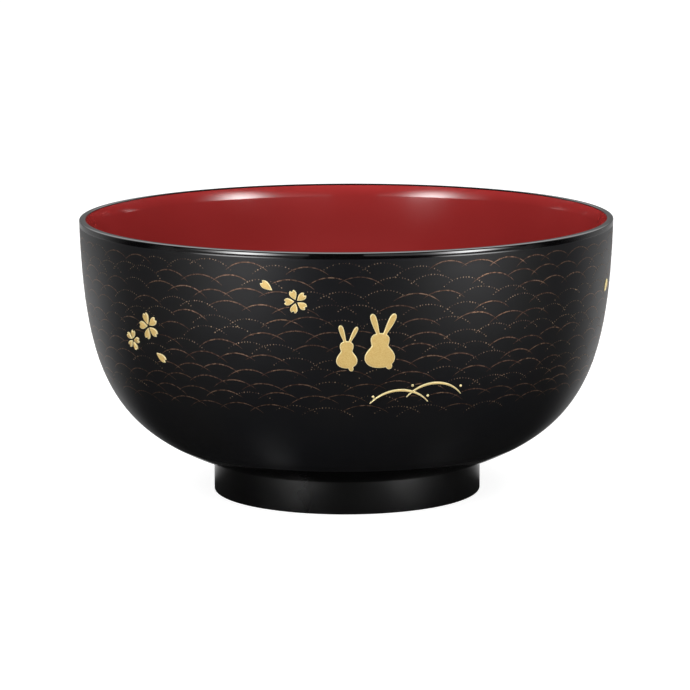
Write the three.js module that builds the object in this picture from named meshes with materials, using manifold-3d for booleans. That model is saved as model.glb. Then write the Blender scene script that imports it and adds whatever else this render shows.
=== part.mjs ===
// Footed lacquer soup bowl, in millimetres, +Z up.
// The origin is the middle of the foot's bottom edge; the decorated front faces -Y.
import * as THREE from 'three';
import { mergeVertices } from 'three/addons/utils/BufferGeometryUtils.js';
import Module from 'manifold-3d';

const wasm = await Module();
wasm.setup();

// Outside of the bowl
const RIM_RADIUS = 68;
const BOWL_HEIGHT = 70.6;
const FOOT_RADIUS = 34.2;
const FOOT_HEIGHT = 8.2;
const BELLY_ANGLE = 18.4; // degrees above level where the belly leaves the foot
const BELLY_HANDLE = 28.7;
const LIP_LEAN = 1.5; // degrees outward of upright at the lip
const LIP_HANDLE = 37.4;

// Wall, measured square to the outside, coats included
const LIP_WALL = 1.8;
const BELLY_WALL = 6.3;
const FLOOR_DIP = 2.4; // floor's middle, below the start of the wall

// Lacquer coats
const COAT = 0.3;
const BOND_GAP = 0.05;
const BAND_OUTSIDE = 1.25; // straight legs of the gloss band, below the rounded lip
const BAND_INSIDE = 0.1;

// Foot ring, turned separately and glued over a spigot under the bowl
const FOOT_WALL = 4;
const SPIGOT_LENGTH = 2;
const SPIGOT_GAP = 0.1;
const SEAT_GAP = 0.1;

// Raised gold
const GOLD_THICKNESS = 0.25;
const GOLD_GAP = 0.1;

// Each motif stands at an angle round the bowl, in degrees from the front, and at a drop below the lip.
// A turn is in degrees clockwise from upright.
const PETALS_PER_BLOSSOM = 5;
const PETAL_START = 0.4; // bare middle of a blossom, to the point of a petal
const PETAL_NOTCH = 0.45;
const BLOSSOMS = [
  { name: 'blossom_upper', angle: -10.25, drop: 11.8, radius: 2.9, petalWidth: 1.85, turn: -21 },
  { name: 'blossom_left_large', angle: -46.3, drop: 20.9, radius: 3.45, petalWidth: 2.05, turn: -18 },
  { name: 'blossom_left_small', angle: -52.4, drop: 25.2, radius: 2.65, petalWidth: 1.6, turn: 14 },
  { name: 'blossom_back', angle: 152, drop: 18, radius: 3.3, petalWidth: 2.2, turn: 8 },
];

const LOOSE_PETAL_LENGTH = 3.4;
const LOOSE_PETAL_WIDTH = 2;
const LOOSE_PETALS = [
  { name: 'petal_upper', angle: -16.3, drop: 8.25, turn: -55 },
  { name: 'petal_left', angle: -43.6, drop: 28.3, turn: 122 },
  { name: 'petal_right', angle: 75.7, drop: 15.7, turn: 35 },
  { name: 'petal_back_high', angle: 166, drop: 11.5, turn: -40 },
  { name: 'petal_back_low', angle: 140, drop: 26.5, turn: 130 },
];

const RABBIT_ANGLE = 0;
const RABBIT_DROP = 28.1; // lip to the seat of both rabbits
const RABBIT_SPACING = 7.85;
// Heights are above the seat; the tail lies on the outline, at a share of the way from the seat's middle
// round to the widest place; an ear grows from a root below the top of the head.
const SMALL_RABBIT = {
  bodyWidth: 5.05,
  bodyMiddle: 1.9,
  neckWidth: 2.75,
  neckHeight: 4.35,
  headWidth: 3.3,
  headMiddle: 5.6,
  headTop: 6.9,
  tailRadius: 0.65,
  tailPlace: 0.25,
  earRoot: 0.7,
  ears: [
    { along: -0.25, lean: -15.8, length: 4.8, width: 1.2 },
    { along: 0.48, lean: 23.4, length: 4.6, width: 1.05 },
  ],
};
const LARGE_RABBIT = {
  bodyWidth: 7.3,
  bodyMiddle: 2.6,
  neckWidth: 4,
  neckHeight: 5.7,
  headWidth: 4.55,
  headMiddle: 7.2,
  headTop: 8.8,
  tailRadius: 0.8,
  tailPlace: 0.42,
  earRoot: 0.8,
  ears: [
    { along: -0.35, lean: -14.5, length: 5.85, width: 1.5 },
    { along: 0.77, lean: 25, length: 6.25, width: 1.6 },
  ],
};

const MOUND_ANGLE = 11.5;
const MOUND_DROP = 37.2; // lip to the feet of the left arc
const MOUND_WIDTH = 14.6;
const MOUND_RISE = 3.8;
const MOUND_STROKE = 0.7;
const MOUND_TIP = 0.3;
const MOUND_SHIFT = { along: 8.8, up: 1.5 }; // right arc from left arc
const DEW_RADIUS = 0.32;
const DEW_DROPS = [
  { name: 'dew_drop_1', arc: 0, along: -6.5, above: 1.1 },
  { name: 'dew_drop_2', arc: 0, along: 3, above: 1.45 },
  { name: 'dew_drop_3', arc: 0, along: 7.05, above: 1.4 },
  { name: 'dew_drop_4', arc: 1, along: 7, above: 1.9 },
];

// Fineness of the facets
const TURNS = 40;
const WALL_STEPS = 10;
const FLOOR_STEPS = 3;
const CORNER_STEPS = 2;
const CURVE_STEPS = 4;
const HALF_OVAL_STEPS = 6;
const PARAMETER_HALVINGS = 40;

const radians = THREE.MathUtils.degToRad;
const pointAt = (r, z) => new THREE.Vector2(r, z);

const wood = new THREE.MeshStandardMaterial({ color: 0xb98a55, roughness: 0.7, metalness: 0 });
const vermilion = new THREE.MeshStandardMaterial({ color: 0x9e2a27, roughness: 0.22, metalness: 0 });
const satinBlack = new THREE.MeshStandardMaterial({ color: 0x1a191a, roughness: 0.42, metalness: 0 });
const glossBlack = new THREE.MeshStandardMaterial({ color: 0x0b0a0b, roughness: 0.12, metalness: 0 });
const gold = new THREE.MeshStandardMaterial({ color: 0xd6ba74, roughness: 0.4, metalness: 0.8 });

// Outside of the bowl in the half plane of radius and height, from the foot up to the lip
const outside = new THREE.CubicBezierCurve(
  pointAt(FOOT_RADIUS, FOOT_HEIGHT),
  pointAt(
    FOOT_RADIUS + BELLY_HANDLE * Math.cos(radians(BELLY_ANGLE)),
    FOOT_HEIGHT + BELLY_HANDLE * Math.sin(radians(BELLY_ANGLE)),
  ),
  pointAt(
    RIM_RADIUS - LIP_HANDLE * Math.sin(radians(LIP_LEAN)),
    BOWL_HEIGHT - LIP_HANDLE * Math.cos(radians(LIP_LEAN)),
  ),
  pointAt(RIM_RADIUS, BOWL_HEIGHT),
);

// A point of a curve, moved to the left of its direction of travel: into the wall, for the outside curve
function besideCurve(curve, t, depth) {
  const along = curve.getTangent(t);
  const point = curve.getPoint(t);
  return point.add(pointAt(-along.y, along.x).multiplyScalar(depth));
}

const wallAt = (t) => LIP_WALL + (BELLY_WALL - LIP_WALL) * (1 - t);
const outerFace = (depth) => (t) => besideCurve(outside, t, depth);
const innerFace = (depth) => (t) => besideCurve(outside, t, wallAt(t) - depth);

// The curve parameter at which a face of the wall reaches a height
function parameterAt(face, height) {
  let low = 0;
  let high = 1;
  for (let halving = 0; halving < PARAMETER_HALVINGS; halving += 1) {
    const middle = (low + high) / 2;
    if (face(middle).y < height) low = middle;
    else high = middle;
  }
  return high;
}

const stepsTo = (end, count) => Array.from({ length: count + 1 }, (_, i) => (end * i) / count);
const lipTop = BOWL_HEIGHT - COAT;
const bandFoot = lipTop - BAND_OUTSIDE;
const bandInnerFoot = lipTop - BAND_INSIDE;
const outerTop = parameterAt(outerFace(0), bandFoot - BOND_GAP);
const innerTop = parameterAt(innerFace(0), bandInnerFoot - BOND_GAP);
const outerSteps = stepsTo(outerTop, WALL_STEPS);
const innerSteps = stepsTo(innerTop, WALL_STEPS);

// The floor carries the inner face of the wall on to the axis, level in the middle
const wallStart = innerFace(0)(0);
const wallNext = innerFace(0)(1 / WALL_STEPS);
const wallSlope = (wallNext.y - wallStart.y) / (wallNext.x - wallStart.x);
const floorHeight = wallStart.y - FLOOR_DIP;
const floor = new THREE.QuadraticBezierCurve(
  pointAt(0, floorHeight),
  pointAt(wallStart.x - FLOOR_DIP / wallSlope, floorHeight),
  wallStart,
);

// Inside of the bowl from the axis up the wall, sunk into the wall by a depth
function insidePoints(depth) {
  const floorPoints = stepsTo(1, FLOOR_STEPS).slice(0, -1).map((t) => besideCurve(floor, t, -depth));
  return [...floorPoints, ...innerSteps.map(innerFace(depth))];
}

// Turns a profile into a body; a closed profile runs anticlockwise, with the radius to the right
function turned(points) {
  const geometry = new THREE.LatheGeometry(points, TURNS);
  return geometry.rotateX(Math.PI / 2);
}

const turnedRing = (points) => turned([...points, points[0]]);

function toSolid(geometry) {
  const bare = geometry.clone();
  bare.deleteAttribute('normal');
  bare.deleteAttribute('uv');
  const merged = mergeVertices(bare);
  const vertProperties = Float32Array.from(merged.attributes.position.array);
  const triVerts = Uint32Array.from(merged.index.array);
  return new wasm.Manifold(new wasm.Mesh({ numProp: 3, vertProperties, triVerts }));
}

function toGeometry(solid) {
  const mesh = solid.getMesh();
  const geometry = new THREE.BufferGeometry();
  geometry.setAttribute('position', new THREE.BufferAttribute(Float32Array.from(mesh.vertProperties), 3));
  geometry.setIndex(new THREE.BufferAttribute(Uint32Array.from(mesh.triVerts), 1));
  return geometry;
}

const bowl = new THREE.Group();

function addPiece(name, geometry, material) {
  const mesh = new THREE.Mesh(geometry, material);
  mesh.name = name;
  bowl.add(mesh);
}

// Turned wooden core: belly, seat and spigot for the foot ring, inside and floor
const coreDepth = COAT + BOND_GAP;
const coreTop = BOWL_HEIGHT - coreDepth;
const seatHeight = outerFace(coreDepth)(0).y;
const boreRadius = FOOT_RADIUS - FOOT_WALL + coreDepth;
const spigotRadius = boreRadius - SPIGOT_GAP;
const spigotBottom = seatHeight - SPIGOT_LENGTH;
const faceAt = (face, height) => face(parameterAt(face, height));
addPiece('bowl_core', turned([
  pointAt(0, spigotBottom),
  pointAt(spigotRadius, spigotBottom),
  pointAt(spigotRadius, seatHeight),
  ...outerSteps.map(outerFace(coreDepth)),
  faceAt(outerFace(coreDepth), coreTop),
  faceAt(innerFace(coreDepth), coreTop),
  ...insidePoints(coreDepth).reverse(),
]), wood);

// Foot ring, glued on the spigot and against the seat
const ringRadius = FOOT_RADIUS - coreDepth;
addPiece('foot_ring', turnedRing([
  pointAt(boreRadius, coreDepth),
  pointAt(ringRadius, coreDepth),
  pointAt(ringRadius, seatHeight - SEAT_GAP),
  pointAt(boreRadius, seatHeight - SEAT_GAP),
]), wood);

// Vermilion lining of the inside
addPiece('inner_lacquer', turned([
  ...insidePoints(COAT),
  ...insidePoints(0).reverse(),
]), vermilion);

// Satin coat of the belly
addPiece('outer_lacquer', turnedRing([
  ...outerSteps.map(outerFace(0)),
  ...outerSteps.map(outerFace(COAT)).reverse(),
]), satinBlack);

// A rounded corner of the gloss band, as thick as the coat, about the core's corner
function lipCorner(centre, startAngle) {
  return stepsTo(1, CORNER_STEPS).map((share) => {
    const angle = radians(startAngle) + (share * Math.PI) / 2;
    return pointAt(centre.x + COAT * Math.cos(angle), centre.y + COAT * Math.sin(angle));
  });
}

// Gloss band over the lip
addPiece('rim_lacquer', turnedRing([
  faceAt(outerFace(0), bandFoot),
  ...lipCorner(faceAt(outerFace(COAT), lipTop), 0),
  ...lipCorner(faceAt(innerFace(COAT), lipTop), 90),
  faceAt(innerFace(0), bandInnerFoot),
  faceAt(innerFace(COAT), bandInnerFoot),
  faceAt(innerFace(COAT), lipTop),
  faceAt(outerFace(COAT), lipTop),
  faceAt(outerFace(COAT), bandFoot),
]), glossBlack);

// Gloss coat round the foot ring: outer wall, resting edge and inner wall
const footInnerRadius = FOOT_RADIUS - FOOT_WALL;
const footTop = FOOT_HEIGHT - SEAT_GAP;
const recessTop = spigotBottom - BOND_GAP;
addPiece('foot_lacquer', turnedRing([
  pointAt(footInnerRadius, COAT),
  pointAt(footInnerRadius + COAT, 0),
  pointAt(FOOT_RADIUS - COAT, 0),
  pointAt(FOOT_RADIUS, COAT),
  pointAt(FOOT_RADIUS, footTop),
  pointAt(FOOT_RADIUS - COAT, footTop),
  pointAt(FOOT_RADIUS - COAT, COAT),
  pointAt(footInnerRadius + COAT, COAT),
  pointAt(footInnerRadius + COAT, recessTop),
  pointAt(footInnerRadius, recessTop),
]), glossBlack);

// Gloss coat under the bowl, inside the foot
const undersideRadius = footInnerRadius - BOND_GAP;
const undersideHeight = recessTop - COAT;
addPiece('underside_lacquer', turned([
  pointAt(0, undersideHeight),
  pointAt(undersideRadius, undersideHeight),
  pointAt(undersideRadius, recessTop),
  pointAt(0, recessTop),
]), glossBlack);

// Thin shell just outside the belly, from which every gold motif is cut
const goldShell = toSolid(turnedRing([
  ...outerSteps.map(outerFace(-GOLD_GAP - GOLD_THICKNESS)),
  ...outerSteps.map(outerFace(-GOLD_GAP)).reverse(),
]));

// A frame on the belly: x round the bowl to the right, y up the wall, z straight out of it
function bellyFrame(angle, drop, along = 0) {
  const t = parameterAt(outerFace(0), BOWL_HEIGHT - drop);
  const spot = outside.getPoint(t);
  const slope = outside.getTangent(t);
  const turn = radians(angle) + along / spot.x;
  const right = new THREE.Vector3(Math.cos(turn), Math.sin(turn), 0);
  const out = new THREE.Vector3(Math.sin(turn), -Math.cos(turn), 0);
  const up = out.clone().multiplyScalar(slope.x).setZ(slope.y);
  const frame = new THREE.Matrix4().makeBasis(right, up, right.clone().cross(up));
  return frame.setPosition(out.multiplyScalar(spot.x).setZ(spot.y));
}

const MOTIF_REACH = 3; // how far a motif's cutter stands in and out of the belly

function cutter(shape) {
  const options = { depth: 2 * MOTIF_REACH, bevelEnabled: false, curveSegments: CURVE_STEPS };
  return new THREE.ExtrudeGeometry(shape, options).translate(0, 0, -MOTIF_REACH);
}

// Cuts the outlines, joined into one, out of the gold shell
function addMotif(name, shapes, frame) {
  const cutters = shapes.map((shape) => toSolid(cutter(shape).applyMatrix4(frame)));
  const joined = cutters.reduce((sum, next) => sum.add(next));
  addPiece(name, toGeometry(joined.intersect(goldShell)), gold);
}

// Shares of a petal's half width and length that place the handles of its sides and its two lobes
const PETAL_ROOT = { across: 0.55, up: 0.25 };
const PETAL_SHOULDER = { across: 1.6, up: 0.7 };
const PETAL_LOBE = 0.45;

// Notched petal with its point at the origin and its tip along +Y
function petalShape(length, width) {
  const half = width / 2;
  const lobe = half * PETAL_LOBE;
  const root = pointAt(half * PETAL_ROOT.across, length * PETAL_ROOT.up);
  const shoulder = pointAt(half * PETAL_SHOULDER.across, length * PETAL_SHOULDER.up);
  const shape = new THREE.Shape();
  shape.moveTo(0, 0);
  shape.bezierCurveTo(root.x, root.y, shoulder.x, shoulder.y, lobe, length);
  shape.lineTo(0, length - PETAL_NOTCH);
  shape.lineTo(-lobe, length);
  shape.bezierCurveTo(-shoulder.x, shoulder.y, -root.x, root.y, 0, 0);
  return shape;
}

const clockwise = (degrees) => new THREE.Matrix4().makeRotationZ(-radians(degrees));

// Blossoms of separate petals
const petalAngle = 360 / PETALS_PER_BLOSSOM;
for (const { name, angle, drop, radius, petalWidth, turn } of BLOSSOMS) {
  const petal = petalShape(radius - PETAL_START, petalWidth);
  const outward = new THREE.Matrix4().makeTranslation(0, PETAL_START, 0);
  for (let i = 0; i < PETALS_PER_BLOSSOM; i += 1) {
    const frame = bellyFrame(angle, drop).multiply(clockwise(turn + i * petalAngle)).multiply(outward);
    addMotif(`${name}_petal_${i + 1}`, [petal], frame);
  }
}

// Loose petals, each centred on its spot
for (const { name, angle, drop, turn } of LOOSE_PETALS) {
  const centred = new THREE.Matrix4().makeTranslation(0, -LOOSE_PETAL_LENGTH / 2, 0);
  const frame = bellyFrame(angle, drop).multiply(clockwise(turn)).multiply(centred);
  addMotif(name, [petalShape(LOOSE_PETAL_LENGTH, LOOSE_PETAL_WIDTH)], frame);
}

function ovalShape(x, y, halfWidth, halfHeight, lean) {
  const shape = new THREE.Shape();
  shape.absellipse(x, y, halfWidth, halfHeight, 0, 2 * Math.PI, true, -radians(lean));
  return new THREE.Shape(shape.getPoints(HALF_OVAL_STEPS).slice(0, -1));
}

// Handle length of a round quarter, as a share of its half width or height
const ROUND = 0.6;
// The neck is a short pinch: handle length there, as a share of the way to the body or the head
const PINCH = 0.15;

// Right half of a sitting rabbit's back, from the middle of the seat up to the top of the head
function rabbitHalf({ bodyWidth, bodyMiddle, neckWidth, neckHeight, headWidth, headMiddle, headTop }) {
  const body = bodyWidth / 2;
  const neck = neckWidth / 2;
  const head = headWidth / 2;
  const shoulder = (bodyMiddle + neckHeight) / 2;
  const cheek = (neckHeight + headMiddle) / 2;
  const below = neckHeight - PINCH * (neckHeight - bodyMiddle);
  const above = neckHeight + PINCH * (headMiddle - neckHeight);
  const crown = headMiddle + ROUND * (headTop - headMiddle);
  const half = new THREE.Path();
  half.moveTo(0, 0);
  half.bezierCurveTo(body * ROUND, 0, body, bodyMiddle * (1 - ROUND), body, bodyMiddle);
  half.bezierCurveTo(body, shoulder, neck, below, neck, neckHeight);
  half.bezierCurveTo(neck, above, head, cheek, head, headMiddle);
  half.bezierCurveTo(head, crown, head * ROUND, headTop, 0, headTop);
  return half;
}

function rabbitShapes(rabbit) {
  const half = rabbitHalf(rabbit);
  const right = half.getPoints(CURVE_STEPS);
  const left = right.slice(1, -1).reverse().map((point) => pointAt(-point.x, point.y));
  const back = new THREE.Shape([...right, ...left]);
  const [seat] = half.curves;
  const tailSpot = seat.getPoint(rabbit.tailPlace);
  const tail = ovalShape(tailSpot.x, tailSpot.y, rabbit.tailRadius, rabbit.tailRadius, 0);
  const ears = rabbit.ears.map(({ along, lean, length, width }) => {
    const reach = length / 2;
    const x = along + reach * Math.sin(radians(lean));
    const y = rabbit.headTop - rabbit.earRoot + reach * Math.cos(radians(lean));
    return ovalShape(x, y, width / 2, reach, lean);
  });
  return [back, tail, ...ears];
}

// Pair of rabbits sitting side by side, seen from behind
addMotif('rabbit_small', rabbitShapes(SMALL_RABBIT), bellyFrame(RABBIT_ANGLE, RABBIT_DROP));
addMotif('rabbit_large', rabbitShapes(LARGE_RABBIT), bellyFrame(RABBIT_ANGLE, RABBIT_DROP, RABBIT_SPACING));

const arcRadius = (width, rise) => (width * width / 4 + rise * rise) / (2 * rise);
const arcPlaces = [{ along: 0, up: 0 }, MOUND_SHIFT];

// Brush stroke of a mound: full in the middle, thin at both ends
function moundShape({ along, up }) {
  const edge = (width, rise) => {
    const radius = arcRadius(width, rise);
    const spread = Math.asin(width / 2 / radius);
    const path = new THREE.Path();
    path.absarc(along, up + rise - radius, radius, Math.PI / 2 + spread, Math.PI / 2 - spread, true);
    return path.getPoints(2 * CURVE_STEPS);
  };
  const top = edge(MOUND_WIDTH, MOUND_RISE);
  const bottom = edge(MOUND_WIDTH - 2 * MOUND_TIP, MOUND_RISE - MOUND_STROKE);
  return new THREE.Shape([...top, ...bottom.reverse()]);
}

const moundFrame = bellyFrame(MOUND_ANGLE, MOUND_DROP);
addMotif('grass_mound', arcPlaces.map(moundShape), moundFrame);

// Drops of dew, above the stroke's height at their place
for (const { name, arc, along, above } of DEW_DROPS) {
  const stroke = MOUND_RISE * (1 - (2 * along / MOUND_WIDTH) ** 2);
  const x = arcPlaces[arc].along + along;
  const y = arcPlaces[arc].up + stroke + above;
  addMotif(name, [ovalShape(x, y, DEW_RADIUS, DEW_RADIUS, 0)], moundFrame);
}

export default bowl;
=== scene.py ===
"""Footed lacquer bowl with a red lining, printed wave lines and raised gold, on a pale floor."""
import math
import random

import bmesh
import bpy
import numpy as np
from bpy.props import FloatProperty, FloatVectorProperty, IntProperty, PointerProperty
from mathutils import Matrix, Vector


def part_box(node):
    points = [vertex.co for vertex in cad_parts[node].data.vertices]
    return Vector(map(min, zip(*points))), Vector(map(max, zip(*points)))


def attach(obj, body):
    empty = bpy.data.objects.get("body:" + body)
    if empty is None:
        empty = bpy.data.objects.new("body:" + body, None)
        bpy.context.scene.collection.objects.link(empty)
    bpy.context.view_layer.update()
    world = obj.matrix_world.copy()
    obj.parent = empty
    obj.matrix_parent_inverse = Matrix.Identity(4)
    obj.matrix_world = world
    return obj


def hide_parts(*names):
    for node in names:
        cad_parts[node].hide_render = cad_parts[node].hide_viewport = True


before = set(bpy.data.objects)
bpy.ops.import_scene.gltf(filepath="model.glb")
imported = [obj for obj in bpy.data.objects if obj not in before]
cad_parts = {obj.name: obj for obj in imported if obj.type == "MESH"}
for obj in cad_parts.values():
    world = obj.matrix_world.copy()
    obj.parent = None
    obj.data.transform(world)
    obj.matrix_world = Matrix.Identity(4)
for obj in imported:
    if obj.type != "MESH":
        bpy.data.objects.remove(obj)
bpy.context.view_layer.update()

bl_info = {
    "name": "Lacquer Bowl",
    "version": (1, 0, 0),
    "blender": (4, 5, 0),
    "location": "3D View > Sidebar > Bowl",
    "description": "Builds a footed lacquer bowl with printed waves and raised gold",
    "category": "Add Mesh",
}

BODY = "root"
MM = 0.001
FRONT = Vector((0, -1, 0))

# Fineness of the turned pieces
TURN_STEPS = 192
WALL_STEPS = 48
FLOOR_STEPS = 16
CORNER_STEPS = 6
BEVEL_STEPS = 8
CURVE_SAMPLES = 2001
MERGE_DISTANCE = 1e-7
SMOOTH_ANGLE = math.radians(40)

# Gaps between the turned pieces and half the width of the crease below the bevel, in millimetres
BOND_GAP = 0.05
SPIGOT_GAP = 0.1
SEAT_GAP = 0.1
CREASE = 0.12

# Petals, in millimetres and in shares of a petal's half width and length
PETALS_PER_BLOSSOM = 5
PETAL_START = 0.4
PETAL_NOTCH = 0.45
PETAL_ROOT = (0.55, 0.25)
PETAL_SHOULDER = (1.6, 0.7)
PETAL_LOBE = 0.45
OUTLINE_STEPS = 14

# Blossoms: degrees from the front; drop below the lip, radius and petal width in millimetres; turn in degrees
BLOSSOMS = (
    ("blossom_upper", -10.25, 11.8, 2.9, 1.85, -21),
    ("blossom_left_large", -46.3, 20.9, 3.45, 2.05, -18),
    ("blossom_left_small", -52.4, 25.2, 2.65, 1.6, 14),
    ("blossom_back", 152, 18, 3.3, 2.2, 8),
)

# Loose petals: degrees from the front, drop below the lip, turn in degrees clockwise from upright
LOOSE_PETAL_LENGTH = 3.4
LOOSE_PETAL_WIDTH = 2
LOOSE_PETALS = (
    ("petal_upper", -16.3, 8.25, -55),
    ("petal_left", -43.6, 28.3, 122),
    ("petal_right", 75.7, 15.7, 35),
    ("petal_back_high", 166, 11.5, -40),
    ("petal_back_low", 140, 26.5, 130),
)

# Rabbits from behind, in millimetres above the seat; an ear is (along, lean in degrees, length, width)
RABBIT_DROP = 28.1
RABBIT_SPACING = 7.85
ROUND = 0.6
PINCH = 0.15
EAR_ROOT_WIDTH = 0.55
EAR_FULL = 0.7
EAR_TIP = 0.78
SMALL_RABBIT = {
    "body": (5.05, 1.9), "neck": (2.75, 4.35), "head": (3.3, 5.6), "top": 6.9,
    "tail": (1.0, 0.0, 0.58, 0.78, -20), "ear_root": 0.7,
    "ears": ((-0.25, -16, 4.85, 1.2), (0.5, 26, 4.75, 1.05)),
}
LARGE_RABBIT = {
    "body": (7.3, 2.6), "neck": (4.0, 5.7), "head": (4.55, 7.2), "top": 8.8,
    "tail": (2.25, 0.45, 0.78, 0.84, -20), "ear_root": 0.8,
    "ears": ((-0.32, -17, 5.9, 1.5), (0.85, 26.5, 6.25, 1.6)),
}

# Grass mound of two crossing strokes, with drops of dew: (stroke, along, above the stroke)
MOUND_ANGLE = 11.5
MOUND_DROP = 37.2
MOUND_WIDTH = 14.6
MOUND_RISE = 3.8
MOUND_STROKE = 0.64
MOUND_TIP = 0.3
MOUND_STROKES = ((0, 0), (8.8, 1.5))
DEW_RADIUS = 0.32
DEW_DROPS = ((0, -6.5, 1.1), (0, 3, 1.45), (0, 7.05, 1.4), (1, 7, 1.9))

# Rounds of moving a relief's border on to its outline, and the step that finds the way, in shares of a cell
SNAP_ROUNDS = 2
SNAP_STEP = 0.05

# How freely a hand spaces the waves: chances, a share of a step, millimetres, shares of a size, degrees
FIRST_DOTTED = 0.4
DOTTED_AFTER_LINE = 0.28
DOTTED_AFTER_DOTS = 0.5
DRIFT_ALONG = 0.13
DRIFT_UP = 0.6
RADIUS_RANGE = (0.92, 1.12)
SPREAD_RANGE = (0.92, 1.06)
TILT_RANGE = (-5, 5)
TONE_RANGE = (0.55, 1.0)

# Wave lines and dots: fineness, and shares of a line's width and tone and of a dot's pitch, size and tone
LINE_STEPS = 12
CLEAR_SAMPLES = 49
CLEAR_LEAST = 3
LINE_TIP = 0.22
LINE_TAPER = 2.4
LINE_TIP_TONE = 0.45
DOT_DRIFT = 0.12
DOT_SIZE_RANGE = (0.75, 1.15)
DOT_TONE_RANGE = (0.45, 1.0)
DOT_SEGMENTS = 8
DOT_RINGS = 3

# Lacquer skins: roughness and its spread, scales of mottle and grain, strength of the peel
RED_SKIN = (0.07, 0.02, 30, 700, 0.04)
SATIN_SKIN = (0.42, 0.03, 35, 2200, 0.25)
GLOSS_SKIN = (0.05, 0.02, 60, 800, 0.04)
FOOT_SKIN = (0.3, 0.03, 60, 1500, 0.06)
BARE_ROUGHNESS = 0.1
SATIN_SPECULAR = 0.2

# Heights of peel, powder and fibres, half the width of the satin's lower edge and the start of the gold's
# pale edge, in millimetres
GRAIN_HEIGHT = 0.02
FIBRE_HEIGHT = 0.05
SATIN_FADE = 0.1
PALE_START = 0.1

# Shares of single grains, of fibres and of the pale gold at its fullest, and how metallic the gold is
GRAIN_SHARE = 0.6
FIBRE_SHARE = 0.35
PALE_SHARE = 0.75
GOLD_METALLIC = 0.35

# Large lamps: degrees from the front and share of the radiance; places in metres
KEY_LAMPS = ((-45, 1.1), (45, 0.88))
KEY_SIZE = 0.7
KEY_DISTANCE = 0.8
KEY_HEIGHT = 0.65
KEY_AIM = 0.04

# Low panels: degrees of both ends and of the brightest place; sizes in metres
PANELS = ((-75, -15, -41), (7, 79, 51))
PANEL_DISTANCE = 0.8
PANEL_HEIGHT = 0.17
PANEL_LIFT = 0.001
PANEL_CORE = 0.15
PANEL_GLOW = 0.95
PANEL_TOP_FADE = 0.05
PANEL_END_FADE = 0.25

# Floor in metres, and the grey of the floor on which the bowl's shadow lies
FLOOR_RADIUS = 12
FLOOR_SEGMENTS = 96
SHADOW_GREY = (0.45, 0.45, 0.45, 1)

# Painted light on the floor, seen only in the lacquer's reflections: windows in degrees from the front at the
# left and right, share of the right, window in metres from the axis, strength; a window is start, full, fade
# and end
PAINTED_POOLS = (
    ((-90, -76, -19, -15), (28, 44, 78, 90), 1, (0.1, 0.32, 20, 30), 0.3),
    ((-36, -29, -26, -18), (26, 34, 38, 48), 0.3, (0.036, 0.046, 0.058, 0.072), 0.28),
    ((-68, -46, -44, -20), (32, 46, 52, 76), 1, (0.36, 0.4, 0.46, 0.52), 9),
)

# White floor and background behind the bowl and light above it: from, to, share before, share after
FLOOR_BEHIND = (math.radians(96), math.radians(130), 0.02, 1)
FLOOR_FADE = (0.42, 0.5, 1.1, 0.4)
WORLD_BEHIND = (0.1, 0.6, 0.02, 1)
WORLD_LOW = (0.15, 0.4, 0.15, 1)
WORLD_ABOVE = (0.5, 0.8, 0, 1)
ABOVE_MIRRORED = (0, 1, 1, 0.5)


def colour(name, description, default):
    return FloatVectorProperty(
        name=name, description=description, default=default, subtype="COLOR", min=0, max=1)


def length(name, description, millimetres):
    return FloatProperty(
        name=name, description=description, default=millimetres * MM, min=0, unit="LENGTH", precision=5)


def turn(name, description, degrees):
    return FloatProperty(
        name=name, description=description, default=math.radians(degrees), subtype="ANGLE")


class BowlShape(bpy.types.PropertyGroup):
    """Sizes of the turned bowl."""
    rim_radius: length("Lip radius", "Axis to the outside of the lip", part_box("rim_lacquer")[1].x / MM)
    height: length("Height", "Table to the top of the lip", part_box("rim_lacquer")[1].z / MM)
    foot_radius: length("Foot radius", "Axis to the outside of the foot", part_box("foot_lacquer")[1].x / MM)
    foot_height: length("Foot height", "Table to the corner below the belly", 8.2)
    foot_wall: length("Foot wall", "Width of the foot ring", 4)
    belly_angle: turn("Belly angle", "Slope of the belly where it leaves the foot", 18.4)
    belly_handle: length("Belly handle", "Reach of the belly curve from the foot", 28.7)
    lip_lean: turn("Lip lean", "Outward lean of the wall at the lip", 1.5)
    lip_handle: length("Lip handle", "Reach of the belly curve down from the lip", 37.4)
    lip_wall: length("Lip wall", "Thickness of the wall at the lip", 1.8)
    belly_wall: length("Belly wall", "Thickness of the wall at the foot", 6.3)
    hollow: length("Hollow", "Most that the inside is hollowed between lip and belly", 0.35)
    hollow_reach: length("Hollow reach", "Distance below the lip at which the hollow ends", 69)
    lip_bevel: length("Lip bevel", "How much the bevel inside the lip thins its edge", 0.092)
    lip_flare: length("Lip flare", "How much the bevel's outward curve thins the edge further", 0.083)
    bevel_reach: length("Bevel reach", "Height of the bevel inside the lip", 3.3)
    floor_dip: length("Floor dip", "Middle of the floor below the start of the wall", 2.4)
    coat: length("Coat", "Thickness of each lacquer coat", 0.3)
    satin_edge: length("Satin edge", "Height of the lower edge of the satin", 13.3)
    band_outside: length("Lip band", "Height of the gloss band below the rounded lip", 1.25)
    band_inside: length("Lip band inside", "Height of the gloss band on the inside", 0.1)
    lip_crown: length("Lip crown", "How far the lip falls from its inner to its outer corner", 0.11)
    spigot: length("Spigot", "Length of the spigot that carries the foot ring", 2)


class GoldRelief(bpy.types.PropertyGroup):
    """Sizes of the raised gold."""
    thickness: length("Thickness", "Height of the gold above the belly", 0.3)
    edge: length("Edge", "Width of the rounded edge", 0.22)
    skirt: length("Skirt", "Height of the upright side below the rounded edge", 0.06)
    sink: length("Sink", "Depth of the gold's underside in the coat", 0.03)
    cell: length("Cell", "Mesh size of the reliefs", 0.085)
    pale_edge: length("Pale edge", "Width of the paler line along the edge", 0.26)


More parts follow.
